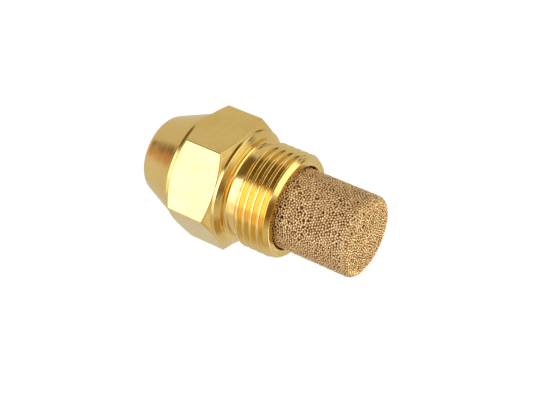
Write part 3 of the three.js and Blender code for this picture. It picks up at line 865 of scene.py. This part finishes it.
def sintered_bronze():
    """Fused bronze grains: painted shade in the pores, a painted highlight on each grain's crown,
    each grain its own tone.
    """
    # the first colour is painted shade for the pores and the grains' edges
    painted_pore_shade, cloud_colour = (0.165, 0.064, 0.015), (0.68, 0.38, 0.13)
    grain_dark, grain_light = (0.47, 0.245, 0.075), (0.88, 0.55, 0.21)
    # painted highlight colours for the crowns of the grains
    painted_highlight_dark, painted_highlight_light = (1.0, 0.80, 0.43), (1.0, 0.95, 0.70)
    mat = Material("sintered_bronze_grains")
    place = mat.position()
    depth, grain, rim = (mat.attribute(name) for name in ("depth", "grain", "rim"))
    # painted shade: 0 in the pores and towards the grains' edges, 1 on the open grains
    clear_of_pore_shade = mat.mul(mat.ramp(depth, span=(-0.24, -0.05)), mat.ramp(rim, span=(0.99, 0.64)))
    # painted highlight: 1 on a grain's crown, fading towards its edge
    crown = mat.ramp(rim, span=(0.62, 0.12), smooth=False)
    cloud = mat.noise(place, scale=0.9, detail=3.0, rough=0.6)
    shade = mat.ramp(grain, span=(0.0, 1.0), smooth=False)
    colour = mat.mix(shade, grain_dark, grain_light)
    clouded = mat.mul(mat.ramp(cloud, span=(0.35, 0.7)), 0.25)
    colour = mat.mix(clouded, colour, cloud_colour)
    # painted shade in the pores and round each grain's edge
    colour = mat.mix(clear_of_pore_shade, painted_pore_shade, colour)
    # painted highlight laid over the crowns, kept out of the painted pore shade
    painted_highlight = mat.mix(grain, painted_highlight_dark, painted_highlight_light)
    mat.set("Base Color", mat.mix(mat.mul(mat.mul(crown, clear_of_pore_shade), 1.0), colour, painted_highlight))
    mat.set("Metallic", 0.55)
    mat.set("Specular IOR Level", 0.2)
    fine = mat.noise(place, scale=16.0, detail=2.0, rough=0.6)
    mat.set("Roughness", mat.ramp(fine, span=(0.3, 0.7), to=(0.27, 0.44)))
    mat.set("Normal", mat.bump(fine, distance=0.00001, strength=0.5))
    return mat.material


brass_body = turned_metal("brass_turned_body", light=(0.88, 0.63, 0.22),
                          deep=(0.84, 0.565, 0.165), rough=0.20, hexagon=True)
brass_part = turned_metal("brass_turned_part", light=(0.87, 0.61, 0.20),
                          deep=(0.81, 0.53, 0.15), rough=0.26)
steel = turned_metal("steel_turned", light=(0.66, 0.66, 0.65),
                     deep=(0.56, 0.56, 0.56), rough=0.24)
bronze = sintered_bronze()

# builder, material, CAD piece it replaces, part it rides on, slot
for build, material, piece, part, slot in (
        (nozzle_body, brass_body, "nozzle_body", "body", "brass_body"),
        (orifice_disc, steel, "orifice_disc", "body", "steel_disc"),
        (filter_ferrule, brass_part, "filter_ferrule", "filter", "brass_ferrule"),
        (filter_element, bronze, "filter_element", "filter", "sintered_bronze")):
    obj = build()
    obj.data.materials.append(material)
    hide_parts(piece)
    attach(obj, part)

# CAD pieces that keep their own mesh
for piece, material in (("swirl_distributor", steel), ("lock_screw", brass_part)):
    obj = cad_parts[piece]
    if len(obj.material_slots):
        obj.material_slots[0].material = material
    else:
        obj.data.materials.append(material)


# --------------------------------------------------------------------- stage

# Looking along +x, left is +y (azimuth 90) and behind is -x (azimuth 180).
# Columns: azimuth, elevation, half width, half height, softness in degrees,
# and radiance; later patches lie over earlier ones.
AMBIENT = (0.68, 0.68, 0.66)
STUDIO = [
    (10, 66, 33, 23, 5, (0.16, 0.115, 0.045)),      # dark ceiling towards the nose
    (-54, 36, 13, 12, 7, (0.68, 0.67, 0.62)),       # duller wall, right and ahead
    (-84, 12, 13, 8, 4, (0.14, 0.11, 0.07)),        # small dark gap, right
    (158, -52, 12, 14, 6, (0.46, 0.31, 0.13)),      # three brown patches, low behind
    (142, -14, 13, 7, 6, (0.46, 0.34, 0.14)),
    (140, 8, 27, 17, 5, (0.22, 0.14, 0.06)),        # dark brown card, left and behind
    (178, -14, 13, 9, 6, (0.50, 0.36, 0.15)),
    (174, 14, 8, 9, 5, (0.56, 0.40, 0.15)),         # amber card behind
    (-165, 3, 10, 8, 5, (0.98, 0.95, 0.88)),        # small light card behind
    (-122, 21, 15, 6, 3, (0.22, 0.17, 0.09)),       # dark frame, right and behind
    (-163, 50, 36, 23.5, 3.5, (1.72, 1.70, 1.60)),  # soft box overhead, behind
    (-164, 28, 17, 4, 3, (1.25, 1.12, 0.66)),       # warm lower edge of it
    (-157, -30, 12, 13, 5, (6.5, 6.0, 5.2)),        # lamp low on the filter's side
    (62, 9, 36, 37.5, 5, (1.22, 1.22, 1.24)),       # large soft box, left and ahead
    (61, 22, 19, 23.5, 5, (2.5, 2.5, 3.1)),         # its bright middle
    (12, 4, 8, 8, 5, (0.58, 0.30, 0.18)),           # small dark cards by the nose
    (9, 13, 9, 4, 3, (0.16, 0.08, 0.03)),
]


def patch(net, direction, azimuth, elevation, half_width, half_height, soft):
    """1 inside a box-shaped patch of the surroundings, 0 outside, soft edges."""
    a, e = math.radians(azimuth), math.radians(elevation)
    centre = np.array([math.cos(a) * math.cos(e), math.sin(a) * math.cos(e), math.sin(e)])
    across = np.array([-math.sin(a), math.cos(a), 0.0])
    upward = np.cross(centre, across)
    facing = net.vmath("DOT_PRODUCT", direction, tuple(centre))
    mask = net.math("GREATER_THAN", facing, 0.02)
    safe = net.math("MAXIMUM", facing, 0.02)
    for axis, half in ((across, half_width), (upward, half_height)):
        off = net.math("DIVIDE", net.vmath("DOT_PRODUCT", direction, tuple(axis)), safe)
        off = net.math("ARCTANGENT", net.math("ABSOLUTE", off))
        span = (math.radians(half - soft), math.radians(half + soft))
        mask = net.mul(mask, net.ramp(off, span, to=(1.0, 0.0)))
    return mask


def surroundings(net, direction):
    """Radiance of a white room with soft boxes and dark gaps, seen along direction."""
    total = net.mix(0.0, AMBIENT, AMBIENT)
    for *shape, colour in STUDIO:
        total = net.mix(patch(net, direction, *shape), total, colour)
    return total


def floor_material():
    mat = Material("pale_floor")
    mat.set("Base Color", (0.15, 0.15, 0.15, 1))
    mat.set("Roughness", 1.0)
    mat.set("Specular IOR Level", 0.0)
    mat.set("Emission Color", (1.0, 1.0, 0.995, 1))
    mat.set("Emission Strength", 0.95)
    # seen in the metal, the floor carries the surroundings on below the horizon
    incoming = mat.new("NewGeometry").outputs["Incoming"]
    mirrored = mat.new("Emission")
    mat.put(mirrored, "Color", surroundings(mat, mat.vmath("SCALE", incoming, scale=-1.0)))
    pick = mat.new("MixShader")
    mat.put(pick, 0, mat.new("LightPath").outputs["Is Camera Ray"])
    mat.put(pick, 1, mirrored.outputs[0])
    mat.put(pick, 2, mat.bsdf.outputs[0])
    mat.put(mat.out, "Surface", pick.outputs[0])
    return mat.material


def floor():
    half, cells = 3.0, 8            # half side in metres
    z = cad_box[0][2] - 0.00002     # just under the product
    steps = [-half + 2 * half * i / cells for i in range(cells + 1)]
    points = [(x, y, z) for x in steps for y in steps]
    row = cells + 1
    corners = [i * row + j for i in range(cells) for j in range(cells)]
    mesh = bpy.data.meshes.new("floor")
    mesh.from_pydata(points, [], [(k, k + row, k + row + 1, k + 1) for k in corners])
    obj = bpy.data.objects.new("floor", mesh)
    bpy.context.scene.collection.objects.link(obj)
    mesh.materials.append(floor_material())


def studio():
    """The surroundings are seen only in reflections; the camera sees white."""
    world = bpy.data.worlds.new("studio")
    bpy.context.scene.world = world
    world.use_nodes = True
    net = Nodes(world.node_tree)
    out, background = net.new("OutputWorld"), net.new("Background")
    net.put(out, 0, background.outputs[0])
    direction = net.vmath("NORMALIZE", net.new("TexCoord").outputs["Generated"])
    to_camera = net.new("LightPath").outputs["Is Camera Ray"]
    seen = net.mix(to_camera, surroundings(net, direction), (1.0, 1.0, 1.0))
    net.put(background, "Color", seen)
    net.put(background, "Strength", 1.0)


def camera():
    """Camera on the filter's side, left and above, aimed near the sealing face."""
    turn, tilt = math.radians(214.02), math.radians(39.476)
    distance, shift_left, shift_up = 161.484, 3.885, 1.077      # mm, in the view
    back = Vector((math.sin(turn) * math.cos(tilt), -math.cos(turn) * math.cos(tilt),
                   math.sin(tilt)))
    right = Vector((math.cos(turn), math.sin(turn), 0.0))
    up = back.cross(right)
    target = Vector((SEAL_X, 0.0, AXIS_Z))
    data = bpy.data.cameras.new("camera")
    data.sensor_width, data.sensor_fit = 36.0, "HORIZONTAL"
    data.lens = 85.05
    data.clip_start, data.clip_end = 0.005, 50.0
    cam = bpy.data.objects.new("camera", data)
    bpy.context.scene.collection.objects.link(cam)
    pose = Matrix((right, up, back)).transposed().to_4x4()
    pose.translation = target + (back * distance - right * shift_left + up * shift_up) * MM
    cam.matrix_world = pose
    bpy.context.scene.camera = cam


floor()
studio()
camera()
scene = bpy.context.scene
scene.view_settings.view_transform = "Standard"
scene.view_settings.look = "None"
scene.cycles.seed = 7
